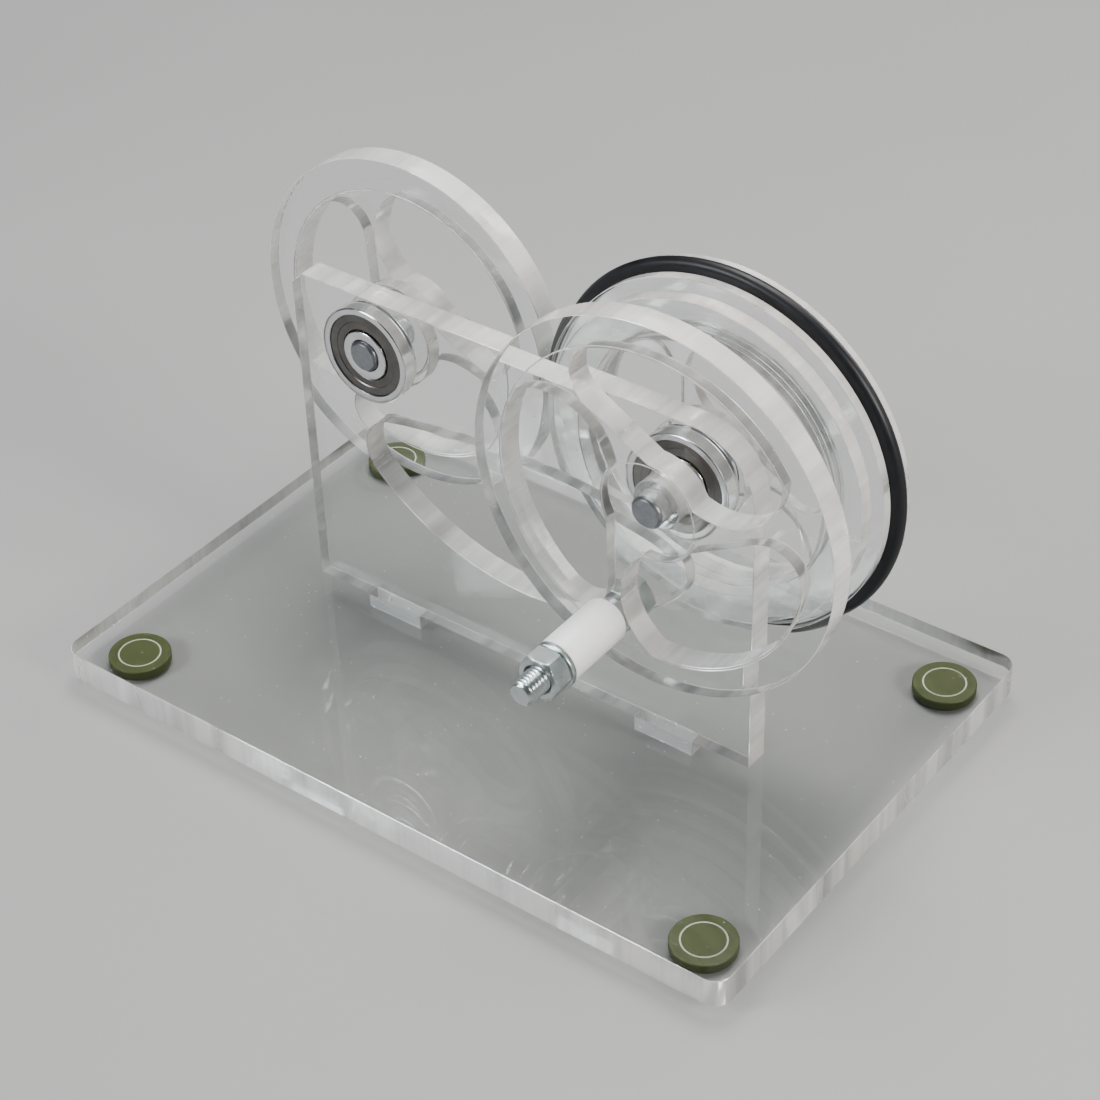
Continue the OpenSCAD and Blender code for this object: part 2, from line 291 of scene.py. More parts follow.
def stands_for(piece, node):
    """The piece rides on the node's body and is shown in its place; the node is hidden."""
    bodies = frame["record"]["behaviour"]["bodies"]
    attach(piece, next(body for body, nodes in bodies.items() if node in nodes))
    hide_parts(node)


def cut_sheet(name, outline, holes, low, high, finishes, standing=True, scores=(), centre=(0, 0), glued=()):
    """A piece cut from sheet. Its walls are the loops carried straight from low to high, with a small bevel
    at each face. scores are radii of fine circles, cut into the low face about the centre. The holes whose
    numbers are in glued get the third finish on their walls, and the other walls get the second."""
    loops = [closed_loop(outline, True)] + [closed_loop(hole, False) for hole in holes]
    walls = np.concatenate(loops)
    rims = np.concatenate([inset(loop, sheet_bevel) for loop in loops])
    score_half, score_deep = 0.14, 0.16
    rings = [circle(centre, radius + shift) for radius in scores for shift in (-score_half, 0, score_half)]
    sunk = np.concatenate([np.full(len(ring), score_deep * (n % 3 == 1)) for n, ring in enumerate(rings)]) \
        if rings else np.zeros(0)
    flat = np.concatenate([rims, *rings]) if rings else rims
    first = np.cumsum([0] + [len(loop) for loop in loops + rings])
    edges = np.concatenate([
        np.stack([a + np.arange(b - a), a + (np.arange(b - a) + 1) % (b - a)], 1)
        for a, b in zip(first[:-1], first[1:])
    ])
    _, _, triangles, origin, _, _ = delaunay_2d_cdt(flat.tolist(), edges.tolist(), [], 0, 1e-6)
    triangles = np.concatenate(origin)[np.array(triangles)]
    middle = flat[triangles].mean(1)
    keep = inside(middle, inset(loops[0], sheet_bevel))
    for loop in loops[1:]:
        keep &= ~inside(middle, inset(loop, sheet_bevel))
    triangles = triangles[keep]
    middle = middle[keep]
    a, b, c = flat[triangles].transpose(1, 0, 2)
    turned_wrong = np.cross(b - a, c - a) < 0
    triangles[turned_wrong] = triangles[turned_wrong][:, ::-1]
    low, high = low + glue_gap, high - glue_gap
    extra = np.zeros(len(walls))
    depth = [low + np.concatenate([extra, sunk]), low + sheet_bevel + extra,
             high - sheet_bevel + extra, high + np.zeros(len(flat))]
    layers = [flat, walls, walls, flat]
    start = np.cumsum([0] + [len(layer) for layer in layers])
    points = np.concatenate([np.column_stack([layer, deep]) for layer, deep in zip(layers, depth)])
    around = edges[: len(walls)]
    quads = np.concatenate([
        np.stack([near + around[:, 0], far + around[:, 0], far + around[:, 1], near + around[:, 1]], 1)
        for near, far in ((start[0], start[1]), (start[1], start[2]), (start[2], start[3]))
    ])
    faces = quads.tolist() + triangles.tolist() + (start[3] + triangles[:, ::-1]).tolist()
    distance = np.linalg.norm(middle - np.array(centre), axis=1)
    scored = np.zeros(len(middle), bool)
    for radius in scores:
        scored |= np.abs(distance - radius) < score_half
    wall_marks = np.concatenate([np.full(len(loop), 2 if n - 1 in glued else 1)
                                 for n, loop in enumerate(loops)])
    marks = np.concatenate([np.tile(wall_marks, 3), scored, np.zeros(len(middle))])
    if standing:
        points = points[:, [0, 2, 1]]
    else:
        faces = [face[::-1] for face in faces]
    return make_piece(name, points, faces, finishes, marks)


def through_shadow(wires, surface, share, tint):
    """Lets that share of the lamps' light straight through, as clear sheet does, tinted a little."""
    lamps = wires.node("ShaderNodeLightPath", out="Is Shadow Ray")
    clear = wires.node("ShaderNodeBsdfTransparent", {}, {"Color": (*tint, 1)})
    return wires.node("ShaderNodeMixShader", {}, {0: lamps * share, 1: surface, 2: clear})


def clear_face_finish(name, dust):
    """Polished faces of clear acrylic: faint ripple, hairline scuffs, and dust specks."""
    finish, wires = new_finish(name)
    place = wires.node("ShaderNodeTexCoord", out="Object")
    ripple = noise(wires, place, 40, detail=1)
    smudge = noise(wires, place, 55, detail=4, rough=0.6)
    scuff_a = noise(wires, place, 1500, (1, 0.03, 0.03), detail=1)
    scuff_b = noise(wires, place, 1500, (0.03, 0.03, 1), detail=1)
    hairline = scuff_a.above(0.74) + scuff_b.above(0.75)
    bump = wires.node("ShaderNodeBump", {}, {"Strength": 0.05, "Distance": 0.0006, "Height": ripple})
    glass = shine(wires, {
        "Base Color": blend_colour(smudge, (0.975, 0.985, 0.985), (0.995, 1.0, 1.0)),
        "Roughness": smudge ** 4 * 0.08 + hairline * 0.05,
        "Transmission Weight": 1.0,
        "IOR": 1.49,
        "Normal": bump,
    })
    cells = wires.node("ShaderNodeTexVoronoi", {}, {"Vector": place, "Scale": 420.0}, out="Distance")
    chosen = noise(wires, place, 130, detail=0).above(1 - dust)
    lint = shine(wires, {"Base Color": (0.9, 0.9, 0.88, 1), "Roughness": 0.8})
    speck = wires.node("ShaderNodeMixShader", {}, {0: cells.below(0.05) * chosen * 0.8, 1: glass, 2: lint})
    end_with(wires, through_shadow(wires, speck, 0.9, (0.95, 0.965, 0.96)))
    return finish


def cut_edge_finish(name, stretch):
    """Laser-cut edges: fine streaks across the thickness and a milky glow, with painted cream reflections
    in places.
    """
    finish, wires = new_finish(name)
    place = wires.node("ShaderNodeTexCoord", out="Object")
    streak = noise(wires, place, 4200, stretch, detail=2, rough=0.5)
    # the cream in the edge colour is a painted reflection of warm surroundings, not scorching
    beige_reflection_cloud = noise(wires, place, 28, detail=1)
    beige_reflection_patch = wires.maths("MULTIPLY_ADD", noise(wires, place, 45, detail=1), 6.0, -3.9, clamp=True)
    bump = wires.node("ShaderNodeBump", {}, {"Strength": 0.12, "Distance": 0.00005, "Height": streak})
    colour = blend_colour(beige_reflection_cloud ** 2 + beige_reflection_patch, (0.98, 0.985, 0.985), (0.95, 0.86, 0.77))
    milk = shine(wires, {
        "Base Color": colour,
        "Roughness": 0.10 + streak * 0.14,
        "Transmission Weight": 0.5,
        "IOR": 1.49,
        "Coat Weight": 0.5,
        "Coat Roughness": 0.04,
        "Normal": bump,
    })
    clear = shine(wires, {
        "Base Color": colour,
        "Roughness": 0.03 + streak * 0.07,
        "Transmission Weight": 0.9,
        "IOR": 1.49,
        "Normal": bump,
    })
    patch = wires.maths("MULTIPLY_ADD", noise(wires, place, 190, stretch, detail=4), 3.0, -1.15, clamp=True)
    wall = wires.node("ShaderNodeMixShader", {}, {0: patch * 0.7, 1: milk, 2: clear})
    end_with(wires, through_shadow(wires, wall, 0.6, (0.95, 0.96, 0.96)))
    return finish


def glued_finish(name):
    """A glued wall: patches of dried cement with tiny trapped bubbles, white and grey, over clear sheet."""
    finish, wires = new_finish(name)
    place = wires.node("ShaderNodeTexCoord", out="Object")
    bubbles = wires.node("ShaderNodeTexVoronoi", {}, {"Vector": place, "Scale": 1500.0}, out="Distance")
    patches = noise(wires, place, 420, detail=3)
    rough_wall = bubbles + patches
    bump = wires.node("ShaderNodeBump", {}, {"Strength": 0.6, "Distance": 0.00012, "Height": rough_wall})
    cement = shine(wires, {
        "Base Color": blend_colour(patches, (0.80, 0.81, 0.80), (0.97, 0.97, 0.96)),
        "Roughness": 0.08 + patches * 0.3,
        "Transmission Weight": 0.6,
        "IOR": 1.46,
        "Normal": bump,
    })
    end_with(wires, through_shadow(wires, cement, 0.6, (0.95, 0.96, 0.96)))
    return finish


dusty_face = clear_face_finish("acrylic_face_dusty", 0.52)
clean_face = clear_face_finish("acrylic_face", 0.44)
flat_edge = cut_edge_finish("acrylic_edge_base", (1, 1, 0.02))
standing_edge = cut_edge_finish("acrylic_edge", (1, 0.02, 1))
cement_wall = glued_finish("cemented_wall")

low, high = span("base_plate")
upright_low, upright_high = span("upright_plate")
half = (high - low)[:2] / 2 - base_corner
base_outline = np.concatenate([
    arc(half * (sx, sy), base_corner, start, start + 90, 17)
    for sx, sy, start in ((1, 1, 0), (-1, 1, 90), (-1, -1, 180), (1, -1, 270))
])
slots = []
for side in (-1, 1):
    left = side * tab_middle - tab_width / 2 - tab_gap
    right = side * tab_middle + tab_width / 2 + tab_gap
    front = upright_low[1] - tab_gap
    back = upright_high[1] + tab_gap
    slots.append(np.array([(left, front), (right, front), (right, back), (left, back)]))
base = cut_sheet("base_plate_sheet", base_outline, slots, low[2], high[2],
                 [dusty_face, flat_edge, cement_wall], standing=False, glued=(0, 1))
stands_for(base, "base_plate")

# ---------------------------------------------------------------------------------------
# Feet: four soft moulded bumpers of clear olive rubber, stuck under the base plate's
# corners. A shallow ring in each stuck face traps air; its white circle is a painted reflection.
# ---------------------------------------------------------------------------------------
foot_ring = 4.0
foot_ring_half = 0.15
foot_ring_deep = 0.25
foot_belly = 1.1
foot_bevel = 0.15


def turned(name, profile, axis_place, finishes, marks=None, count=128, upright=False):
    """A surface of revolution: each profile point (radius, distance) is carried round the axis in a full
    circle. A profile that starts and ends at radius 0 closes at its poles; any other closes on itself."""
    profile = np.asarray(profile, dtype=float)
    ends_meet = profile[0, 0] > 1e-6
    angle = np.arange(count) * 2 * np.pi / count
    radius, along = profile.T
    x = axis_place[0] + radius[:, None] * np.cos(angle)
    z = axis_place[1] + radius[:, None] * np.sin(angle)
    y = along[:, None] + 0 * angle
    points = np.stack([x, z, y] if upright else [x, y, z], 2).reshape(-1, 3)
    rows = np.arange(len(profile) if ends_meet else len(profile) - 1)
    row, column = np.meshgrid(rows, np.arange(count), indexing="ij")
    below, beside = (row + 1) % len(profile), (column + 1) % count
    quads = np.stack([row * count + column, row * count + beside, below * count + beside,
                      below * count + column], 2).reshape(-1, 4)
    face_marks = None if marks is None else np.repeat(np.asarray(marks)[rows], count)
    piece = make_piece(name, points, quads.tolist(), finishes, face_marks)
    close_up(piece)
    return piece


def close_up(piece, crease=28):
    """Merges doubled points at the poles and turns every face outwards."""
    shape = bmesh.new()
    shape.from_mesh(piece.data)
    bmesh.ops.remove_doubles(shape, verts=shape.verts, dist=1e-7)
    bmesh.ops.recalc_face_normals(shape, faces=shape.faces)
    if shape.calc_volume(signed=True) < 0:
        bmesh.ops.reverse_faces(shape, faces=shape.faces)
    shape.to_mesh(piece.data)
    shape.free()
    piece.data.shade_smooth()
    piece.data.set_sharp_from_angle(angle=math.radians(crease))


foot_rubber, wires = new_finish("bumper_rubber")
place = wires.node("ShaderNodeTexCoord", out="Object")
mottle = noise(wires, place, 500, detail=3)
grain = noise(wires, place, 5000, detail=2)
bump = wires.node("ShaderNodeBump", {}, {"Strength": 0.25, "Distance": 0.00005, "Height": grain})
end_with(wires, shine(wires, {
    "Base Color": blend_colour(mottle, (0.035, 0.046, 0.006), (0.075, 0.090, 0.015)),
    "Roughness": 0.38 + mottle * 0.2,
    "Subsurface Weight": 0.1,
    "Subsurface Radius": (0.002, 0.002, 0.0005),
    "Normal": bump,
}))
# pale ring colour: a painted reflection standing for the bright circle at the trapped air
ring_painted_highlight, wires = new_finish("foot_ring_painted_highlight")
place = wires.node("ShaderNodeTexCoord", out="Object")
mottle = noise(wires, place, 900, detail=2)
end_with(wires, shine(wires, {
    "Base Color": blend_colour(mottle, (0.82, 0.85, 0.76), (0.95, 0.96, 0.90)),
    "Roughness": 0.5 + mottle * 0.2,
}))
for node in ("foot_front_left", "foot_front_right", "foot_back_left", "foot_back_right"):
    low, high = span(node)
    middle = (low + high) / 2
    r = (high - low)[0] / 2
    top = high[2] - glue_gap
    belly = arc((r - foot_belly, low[2] + foot_belly), foot_belly, -90, 0, 9)
    ring_out, ring_in = foot_ring + foot_ring_half, foot_ring - foot_ring_half
    profile = np.concatenate([
        [(0, low[2])], belly,
        [(r, top - foot_bevel), (r - foot_bevel, top), (ring_out, top), (ring_out, top - foot_ring_deep),
         (ring_in, top - foot_ring_deep), (ring_in, top), (0, top)],
    ])
    marks = np.zeros(len(profile))
    # the ring's faces take the pale painted reflection
    marks[-5:-2] = 1
    foot = turned(node + "_bumper", profile, middle[:2], [foot_rubber, ring_painted_highlight], marks, 96, upright=True)
    stands_for(foot, node)

# ---------------------------------------------------------------------------------------
# Upright plate: 5 mm clear acrylic, laser cut, standing in the base on two glued tabs.
# One top corner is round and one is chamfered; a lens-shaped window lightens it.
# ---------------------------------------------------------------------------------------
corner_round = 13
corner_chamfer = 2.5
lens_low_r, lens_top_r, lens_end_r = 47, 141, 7
lens_low, lens_top = 25.9, 55.2
bearing_hole = 9.54

left_axis = (sum(span("left_axle")) / 2)[[0, 2]]
crank_axis = (sum(span("crank_axle")) / 2)[[0, 2]]
lens_middle = (left_axis[0] + crank_axis[0]) / 2


def toward(point, centre):
    """The angle in degrees of a point seen from a centre."""
    return math.degrees(math.atan2(point[1] - centre[1], point[0] - centre[0]))


def lens_outline():
    """A low arc, a flat upper arc, and end circles that touch both from inside."""
    low_c = (lens_middle, lens_low + lens_low_r)
    top_c = (lens_middle, lens_top - lens_top_r)
    apart = low_c[1] - top_c[1]
    near, far = lens_low_r - lens_end_r, lens_top_r - lens_end_r
    end_v = top_c[1] + (far ** 2 - near ** 2 + apart ** 2) / (2 * apart)
    end_u = math.sqrt(far ** 2 - (end_v - top_c[1]) ** 2)
    right, left = (lens_middle + end_u, end_v), (lens_middle - end_u, end_v)
    low_a, top_a = toward(right, low_c), toward(right, top_c)
    return np.concatenate([
        arc(low_c, lens_low_r, -180 - low_a, low_a, 96),
        arc(right, lens_end_r, low_a, top_a, 33),
        arc(top_c, lens_top_r, top_a, 180 - top_a, 64),
        arc(left, lens_end_r, 180 - top_a, 180 - low_a, 33),
    ])


base_top = span("base_plate")[1][2]
left, bottom = upright_low[[0, 2]]
right, top = upright_high[[0, 2]]
notches = [(side * tab_middle + half * tab_width / 2, z)
           for side in (-1, 1) for half, z in ((-1, base_top), (-1, bottom), (1, bottom), (1, base_top))]
upright_outline = np.concatenate([
    [(left, base_top), *notches, (right, base_top)],
    arc((right - corner_round, top - corner_round), corner_round, 0, 90, 40),
    [(left + corner_chamfer, top), (left, top - corner_chamfer)],
])
upright = cut_sheet(
    "upright_sheet", upright_outline,
    [lens_outline(), circle(left_axis, bearing_hole), circle(crank_axis, bearing_hole)],
    upright_low[1], upright_high[1], [clean_face, standing_edge])
stands_for(upright, "upright_plate")

# ---------------------------------------------------------------------------------------
# Wheels: clear acrylic discs cut with three curved spokes. Fine circles are scored into
# the front of each at the hub and at the rim. Each is glued to its steel axle.
# ---------------------------------------------------------------------------------------
crank_window_r = 30.2
crank_hub_r = 9.75
axle_bore = 3.04
side_u = -8.5
small_corner_r = 6.2
big_end_r = 12.5
big_end = np.array([-20.3, 3.65])
left_scale, left_turn = 0.884, -56
rear_scale, rear_turn = 0.811, -60
handle_axis = (sum(span("handle_bolt")) / 2)[[0, 2]]
handle_hole = 2.54


def spoke_window():
    """One window of the crank wheel about its axle: small corner, rim arc, large end circle and hub arc,
    closed by a straight side. Each arc ends where its circle touches or crosses the next one."""
    corner = np.array([side_u - small_corner_r,
                       -math.sqrt((crank_window_r - small_corner_r) ** 2 - (side_u - small_corner_r) ** 2)])
    distance = np.linalg.norm(big_end)

    def crossing(radius):
        """Where the circle of that radius about the axle crosses the large end, by the cosine rule."""
        share = (radius ** 2 + distance ** 2 - big_end_r ** 2) / (2 * radius * distance)
        return toward(big_end, (0, 0)) - math.degrees(math.acos(share))

    rim_a, hub_a = crossing(crank_window_r), crossing(crank_hub_r)
    rim_p = arc((0, 0), crank_window_r, rim_a, rim_a, 1)[0]
    hub_p = arc((0, 0), crank_hub_r, hub_a, hub_a, 1)[0]
    touch = toward(corner, (0, 0))
    return np.concatenate([
        arc(corner, small_corner_r, 0, touch, 40),
        arc((0, 0), crank_window_r, 360 + touch, rim_a, 64),
        arc(big_end, big_end_r, toward(rim_p, big_end), toward(hub_p, big_end), 56),
        arc((0, 0), crank_hub_r, hub_a, 180 + math.degrees(math.acos(-side_u / crank_hub_r)), 24),
    ])


def three_windows(axis, scale, start, flip):
    """The spoke window, scaled, mirrored if flip is -1, and turned to three places about the axle."""
    windows = []
    for k in range(3):
        a = math.radians(start + 120 * k)
        turn = np.array([[math.cos(a), math.sin(a)], [-math.sin(a), math.cos(a)]])
        windows.append(spoke_window() * scale * (flip, 1) @ turn + axis)
    return windows


score_out = 0.45
for node, axis, scale, start, flip, more in (
    ("crank_wheel", crank_axis, 1, 0, 1, [circle(handle_axis, handle_hole, 64)]),
    ("left_wheel", left_axis, left_scale, left_turn, -1, []),
    ("rear_spoked_disc", crank_axis, rear_scale, rear_turn, -1, []),
):
    low, high = span(node)
    outline = circle(axis, (high - low)[0] / 2, 360)
    holes = three_windows(axis, scale, start, flip) + [circle(axis, axle_bore, 96)] + more
    scores = (crank_hub_r * scale - score_out, crank_window_r * scale + score_out)
    wheel = cut_sheet(node + "_sheet", outline, holes, low[1], high[1],
                      [clean_face, standing_edge, cement_wall], scores=scores, centre=axis, glued=(3,))
    stands_for(wheel, node)

# ---------------------------------------------------------------------------------------
# Hub discs and rings: plain laser-cut acrylic rings, glued on the axles and to the tyred
# wheel's spoked disc. The flange at the back keeps the tyre on.
# ---------------------------------------------------------------------------------------
rear_bore = crank_window_r * rear_scale
for node, axis, bore in (
    ("left_hub_disc", left_axis, axle_bore),
    ("rear_hub_disc", crank_axis, axle_bore),
    ("rear_front_ring", crank_axis, rear_bore),
    ("rear_core_ring", crank_axis, rear_bore),
    ("rear_flange", crank_axis, rear_bore),
):
    low, high = span(node)
    ring = cut_sheet(node + "_sheet", circle(axis, (high - low)[0] / 2, 300), [circle(axis, bore, 240)],
                     low[1], high[1], [clean_face, standing_edge])
    stands_for(ring, node)

# ---------------------------------------------------------------------------------------
# Tyre: a black rubber ring with a rounded tread, stretched over the core ring. A faint
# mould line runs round its middle, and the tread's sheen varies in a random mottle.
# ---------------------------------------------------------------------------------------
tyre_rubber, wires = new_finish("black_rubber")
place = wires.node("ShaderNodeTexCoord", out="Object")
mottle = noise(wires, place, 260, detail=4, rough=0.6)
grain = noise(wires, place, 6000, detail=2)
bump = wires.node("ShaderNodeBump", {}, {"Strength": 0.3, "Distance": 0.00004, "Height": grain + mottle})
end_with(wires, shine(wires, {
    "Base Color": blend_colour(mottle, (0.006, 0.0065, 0.008), (0.018, 0.019, 0.023)),
    "Roughness": 0.34 + mottle * 0.22,
    "Normal": bump,
}))
low, high = span("rear_tyre")
tread_r = (high - low)[0] / 2
core_outer = (span("rear_core_ring")[1] - span("rear_core_ring")[0])[0] / 2
tyre_half = (high - low)[1] / 2
middle_y = (high + low)[1] / 2
tread = arc((tread_r - tyre_half, 0), tyre_half - 0.04, -90, 90, 25)
mould_line = 0.03
tread[len(tread) // 2, 0] += mould_line
profile = np.concatenate([
    [(core_outer + 0.05, -tyre_half + 0.15), (core_outer + 0.2, -tyre_half + 0.04)], tread,
    [(core_outer + 0.2, tyre_half - 0.04), (core_outer + 0.05, tyre_half - 0.15)],
])
profile[:, 1] += middle_y
tyre = turned("rear_tyre_ring", profile, crank_axis, [tyre_rubber], count=256)
stands_for(tyre, "rear_tyre")

# ---------------------------------------------------------------------------------------
# Bearings: ground and polished steel races pressed into the upright, dark pressed shields
# with a step, and balls in a riveted cage behind them.
# ---------------------------------------------------------------------------------------
race_low, race_high = span("left_bearing_outer_race")
race_front, race_back = race_low[1], race_high[1]
race_width = race_back - race_front
outer_r = (race_high - race_low)[0] / 2
shield_seat_r = 8.2
outer_shoulder_r = 7.6
inner_shoulder_r = 4.9
shield_depth = 0.55
ball_circle_r = 6.25
groove_r = 1.85


def steel_finish(name, dark, light, low_rough, rough_spread, axes_scale):
    """Machined steel: brushed streaks in the roughness and faint cloudy colour."""
    finish, wires = new_finish(name)
    place = wires.node("ShaderNodeTexCoord", out="Object")
    cloud = noise(wires, place, 420, detail=3)
    brushed = noise(wires, place, 3200, axes_scale, detail=2, rough=0.6)
    bump = wires.node("ShaderNodeBump", {}, {"Strength": 0.12, "Distance": 0.00002, "Height": brushed})
    end_with(wires, shine(wires, {
        "Base Color": blend_colour(cloud, dark, light),
        "Metallic": 1.0,
        "Roughness": low_rough + brushed * rough_spread,
        "Normal": bump,
    }))
    return finish


race_steel = steel_finish("race_steel", (0.55, 0.55, 0.56), (0.80, 0.80, 0.82), 0.12, 0.18, (1, 1, 1))
shield_steel = steel_finish("dark_shield_steel", (0.13, 0.125, 0.12), (0.22, 0.21, 0.20), 0.26, 0.2,
                            (1, 1, 1))
cage_brass = steel_finish("pressed_brass", (0.60, 0.42, 0.18), (0.78, 0.60, 0.30), 0.3, 0.2, (1, 1, 1))
ball_steel = steel_finish("polished_steel", (0.75, 0.75, 0.77), (0.9, 0.9, 0.92), 0.05, 0.08, (1, 1, 1))


def mirrored_ring(half_profile, middle):
    """The front half of a ring's section and its mirror image behind the middle, as one closed section."""
    front = np.asarray(half_profile, dtype=float)
    back = front[::-1] * (1, -1) + (0, 2 * middle)
    return np.concatenate([front, back])


for side, axis in (("left", left_axis), ("right", crank_axis)):
    middle_y = race_front + race_width / 2
    groove = arc((ball_circle_r, middle_y), groove_r, 0, 360, 73)
    outer_groove = groove[(groove[:, 0] > outer_shoulder_r) & (groove[:, 1] <= middle_y)]
    outer_groove = outer_groove[np.argsort(outer_groove[:, 1])][::-1]
    round_off = arc((outer_r - 0.35, race_front + 0.35), 0.35, -90, 0, 7)[::-1]
    outer = mirrored_ring(np.concatenate([
        outer_groove, [(outer_shoulder_r, race_front + shield_depth),
                       (shield_seat_r, race_front + shield_depth),
                       (shield_seat_r, race_front + 0.12), (shield_seat_r + 0.12, race_front)],
        round_off[::-1],
    ]), middle_y)
    stands_for(turned(side + "_outer_race_ring", outer, axis, [race_steel], count=160),
               side + "_bearing_outer_race")
    inner_groove = groove[(groove[:, 0] < inner_shoulder_r) & (groove[:, 1] <= middle_y)]
    inner_groove = inner_groove[np.argsort(inner_groove[:, 1])][::-1]
    inner = mirrored_ring(np.concatenate([
        inner_groove, [(inner_shoulder_r, race_front + 0.2)],
        arc((inner_shoulder_r - 0.25, race_front + 0.25), 0.25, 0, -90, 6),
        arc((axle_bore + 0.35, race_front + 0.35), 0.35, -90, -180, 7),
    ]), middle_y)
    stands_for(turned(side + "_inner_race_ring", inner, axis, [race_steel], count=128),
               side + "_bearing_inner_race")
    for face, node in ((1, "_bearing_front_shield"), (-1, "_bearing_back_shield")):
        low, high = span(side + node)
        outside = low[1] if face == 1 else high[1]
        thick = (high - low)[1]
        rim_r = (high - low)[0] / 2
        step = [(5.12, 0.16), (5.2, 0.1), (5.5, 0.1), (5.62, 0.14), (6.55, 0.14), (6.7, 0.02),
                (7.55, 0.02), (7.72, 0.0), (rim_r - 0.08, 0.0), (rim_r, 0.08)]
        section = np.array(step + [(rim_r, thick), (7.7, thick), (6.72, thick - 0.02), (5.3, thick),
                                   (5.12, thick - 0.04)])
        section[:, 1] = outside + face * section[:, 1]
        name = side + node.replace("_bearing", "") + "_plate"
        shield = turned(name, section, axis, [shield_steel], count=160)
        stands_for(shield, side + node)
    for part, finish in (("_bearing_balls", ball_steel), ("_bearing_cage", cage_brass)):
        carried = frame["nodes"][side + part]
        carried.data.materials.clear()
        carried.data.materials.append(finish)

# ---------------------------------------------------------------------------------------
# Axles: 6 mm ground steel rod, sawn and faced, with a small bevel and turning marks on
# the ends. The acrylic washers on them bear on the inner races only.
# ---------------------------------------------------------------------------------------


def axle_finish(name, axis):
    """Ground rod: fine scratches along it, and turning rings on its ends that run about the axle."""
    finish, wires = new_finish(name)
    place = wires.node("ShaderNodeTexCoord", out="Object")
    centred = wires.node("ShaderNodeMapping", {}, {
        "Vector": place, "Location": (-axis[0] * mm, 0, -axis[1] * mm)})
    parts = wires.node("ShaderNodeSeparateXYZ", {}, {0: centred})
    x, z = Wire(wires.tree, parts.socket), Wire(wires.tree, parts.socket.node.outputs[2])
    radius = wires.maths("SQRT", x * x + z * z)
    rings = wires.maths("SINE", radius * 26000.0)
    cloud = noise(wires, place, 900, detail=3)
    ground = noise(wires, place, 4200, (1, 0.04, 1), detail=2)
    height = ground + rings * 0.4
    bump = wires.node("ShaderNodeBump", {}, {"Strength": 0.15, "Distance": 0.00002, "Height": height})
    end_with(wires, shine(wires, {
        "Base Color": blend_colour(cloud, (0.20, 0.205, 0.22), (0.38, 0.39, 0.41)),
        "Metallic": 1.0,
        "Roughness": 0.30 + cloud * 0.16 + rings * 0.03,
        "Normal": bump,
    }))
    return finish


for node, axis in (("left_axle", left_axis), ("crank_axle", crank_axis)):
    low, high = span(node)
    r = (high - low)[0] / 2
    bevel = 0.4
    profile = [(0, low[1]), (1.1, low[1] + 0.005), (r - bevel, low[1]), (r - 0.06, low[1] + bevel - 0.06),
               (r, low[1] + bevel + 0.1), (r, high[1] - bevel - 0.1), (r - 0.06, high[1] - bevel + 0.06),
               (r - bevel, high[1]), (1.1, high[1] - 0.005), (0, high[1])]
    rod = turned(node + "_rod", profile, axis, [axle_finish(node + "_steel", axis)], count=96)
    stands_for(rod, node)


def nylon_finish(name, shade, tint):
    """Natural nylon: soft sheen, slight waxy mottle and fine turning marks."""
    finish, wires = new_finish(name)
    place = wires.node("ShaderNodeTexCoord", out="Object")
    mottle = noise(wires, place, 320, detail=3)
    turning = noise(wires, place, 5200, (0.1, 1, 0.1), detail=1)
    bump = wires.node("ShaderNodeBump", {}, {"Strength": 0.18, "Distance": 0.00003, "Height": turning})
    end_with(wires, shine(wires, {
        "Base Color": blend_colour(mottle, shade, tint),
        "Roughness": 0.36 + mottle * 0.18,
        "Subsurface Weight": 0.2,
        "Subsurface Radius": (0.0015, 0.0013, 0.0012),
        "Normal": bump,
    }))
    return finish


def soft_ring(radius, bore, low_y, high_y, bevel):
    """The closed section of a plain ring with bevelled corners."""
    b = bevel
    return [(bore, low_y + b), (bore + b, low_y), (radius - b, low_y), (radius - 0.3 * b, low_y + 0.3 * b),
            (radius, low_y + b), (radius, high_y - b), (radius - 0.3 * b, high_y - 0.3 * b),
            (radius - b, high_y), (bore + b, high_y), (bore, high_y - b)]


for node, axis in (("left_hub_washer", left_axis), ("crank_hub_washer", crank_axis),
                   ("rear_hub_washer", crank_axis)):
    low, high = span(node)
    washer = cut_sheet(node + "_ring", circle(axis, (high - low)[0] / 2, 96), [circle(axis, axle_bore, 96)],
                       low[1], high[1], [clean_face, standing_edge])
    stands_for(washer, node)

# ---------------------------------------------------------------------------------------
# Handle: a white nylon sleeve turns on a 5 mm zinc-plated bolt, which passes through a
# spoke root. A washer and a hexagonal nut near the bolt's end keep the sleeve on.
# ---------------------------------------------------------------------------------------
sleeve_nylon = nylon_finish("handle_nylon", (0.90, 0.90, 0.88), (0.96, 0.96, 0.95))
low, high = span("handle_sleeve")
section = soft_ring((high - low)[0] / 2, 2.65, low[1], high[1], 0.5)
stands_for(turned("handle_sleeve_tube", section, handle_axis, [sleeve_nylon], count=128), "handle_sleeve")

zinc = steel_finish("zinc_plate", (0.42, 0.46, 0.46), (0.64, 0.68, 0.68), 0.22, 0.2, (1, 0.3, 1))
low, high = span("handle_washer")
section = soft_ring((high - low)[0] / 2, 2.65, low[1], high[1], 0.12)
stands_for(turned("handle_washer_ring", section, handle_axis, [zinc], count=96), "handle_washer")

hex_flats = 8.0
hex_bevel = 0.42


def six_sided(angle):
    """Distance from the middle to a hexagon's outline: half the flats over the cosine of the angle to the
    nearest flat's middle. Its corners are at 0 and every 60 degrees."""
    return hex_flats / 2 / np.cos(np.mod(angle, np.pi / 3) - np.pi / 6)


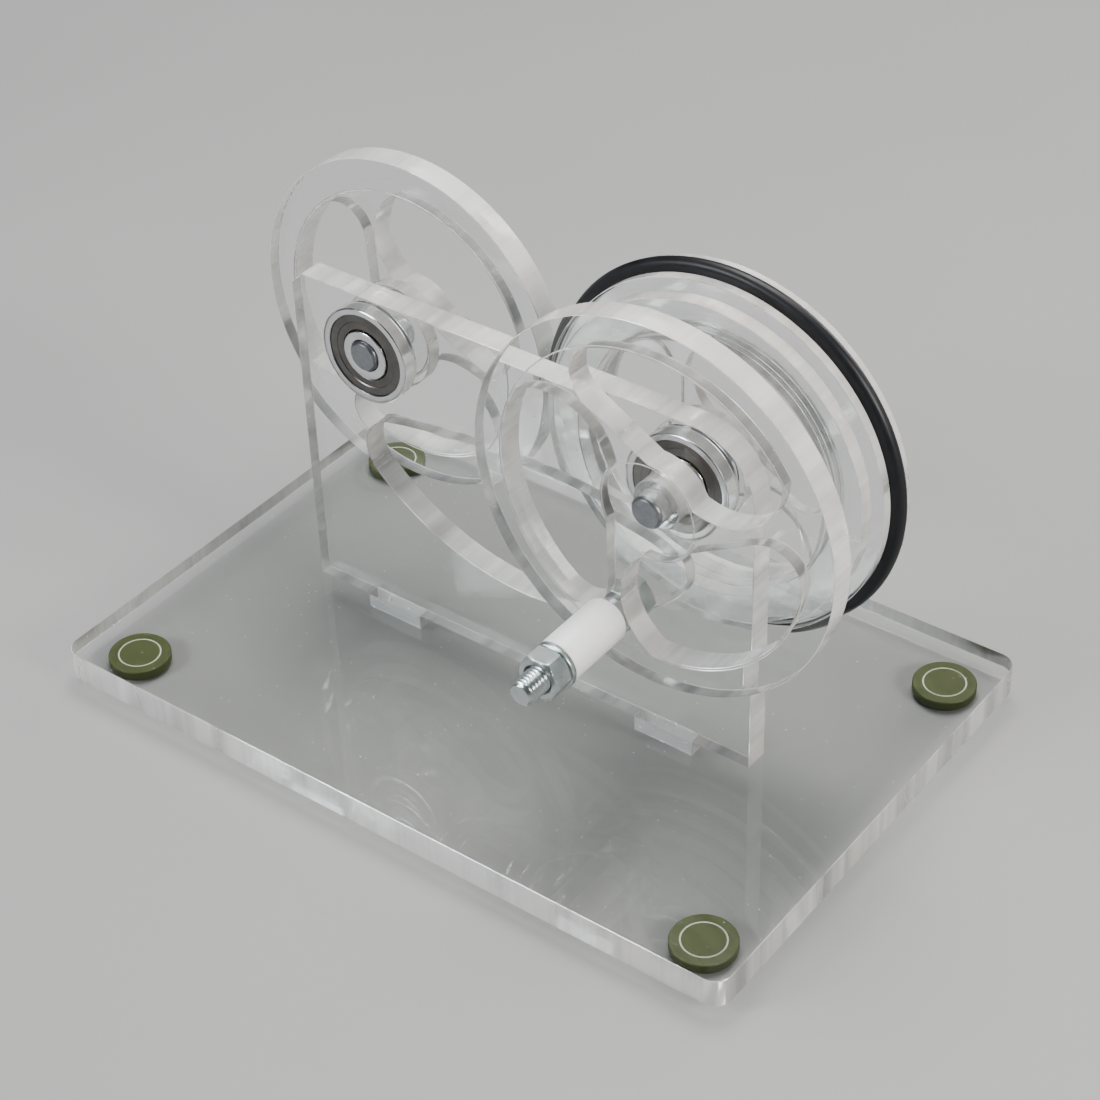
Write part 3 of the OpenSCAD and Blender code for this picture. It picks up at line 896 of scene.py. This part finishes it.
def hexagonal(name, low_y, high_y, bore, finishes, closed_end=False):
    """A hexagonal prism whose ends are cut back by a cone: the radius at a height is the lesser of both."""
    angle = np.arange(144) * 2 * np.pi / 144
    rise = np.linspace(0, hex_bevel, 6)
    cone = hex_flats / 2 * 0.965 + rise * 1.75
    front = [np.minimum(six_sided(angle), limit) for limit in cone]
    heights = np.concatenate([low_y + rise, high_y - rise[::-1]])
    outer = np.array(front + front[::-1])
    if closed_end:
        radii = np.concatenate([[0 * angle], outer, [0 * angle]])
        heights = np.concatenate([[low_y], heights, [high_y]])
    else:
        lead = bore + 0.4
        radii = np.concatenate([[bore + 0 * angle], [lead + 0 * angle], outer, [lead + 0 * angle],
                                [bore + 0 * angle]])
        heights = np.concatenate([[low_y + 0.4], [low_y], heights, [high_y], [high_y - 0.4]])
    return ringed(name, radii, heights, angle, finishes, wrap=not closed_end)


def ringed(name, radii, heights, angle, finishes, wrap):
    """A surface through rings of points about the handle's axis, one ring for each height, joined in
    order."""
    x = handle_axis[0] + radii * np.cos(angle)
    z = handle_axis[1] + radii * np.sin(angle)
    y = np.asarray(heights)[:, None] + 0 * angle
    count, rings = len(angle), len(radii)
    points = np.stack([x, y + 0 * x, z], 2).reshape(-1, 3)
    row, column = np.meshgrid(np.arange(rings if wrap else rings - 1), np.arange(count), indexing="ij")
    below, beside = (row + 1) % rings, (column + 1) % count
    quads = np.stack([row * count + column, row * count + beside, below * count + beside,
                      below * count + column], 2).reshape(-1, 4)
    piece = make_piece(name, points, quads.tolist(), finishes)
    close_up(piece)
    return piece


low, high = span("handle_nut")
stands_for(hexagonal("handle_nut_hexagon", low[1], high[1], 2.54, [zinc]), "handle_nut")

thread_pitch = 0.8
thread_deep = 0.46
thread_lead_in = 0.6
low, high = span("handle_bolt")
bolt_r = 2.5
head_height = 3.5
bolt_end = low[1]
shank_top = high[1] - head_height + 0.3
angle = np.arange(72) * 2 * np.pi / 72
along = np.arange(bolt_end, shank_top, thread_pitch / 12)
phase = np.mod(along[:, None] / thread_pitch - angle / (2 * np.pi), 1)
ridge = 1 - np.abs(2 * phase - 1)
shape = np.clip(ridge * 1.35 - 0.12, 0, 1)
radii = bolt_r - thread_deep * (1 - shape)
lead = bolt_r - thread_lead_in + (along - bolt_end)[:, None]
radii = np.minimum(radii, lead)
radii = np.concatenate([[0 * angle], radii, [0 * angle]])
heights = np.concatenate([[bolt_end], along, [along[-1]]])
shank = ringed("handle_bolt_thread", radii, heights, angle, [zinc], wrap=False)
stands_for(shank, "handle_bolt")
head = hexagonal("handle_bolt_head", high[1] - head_height, high[1], 0, [zinc], closed_end=True)
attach(head, "crank")
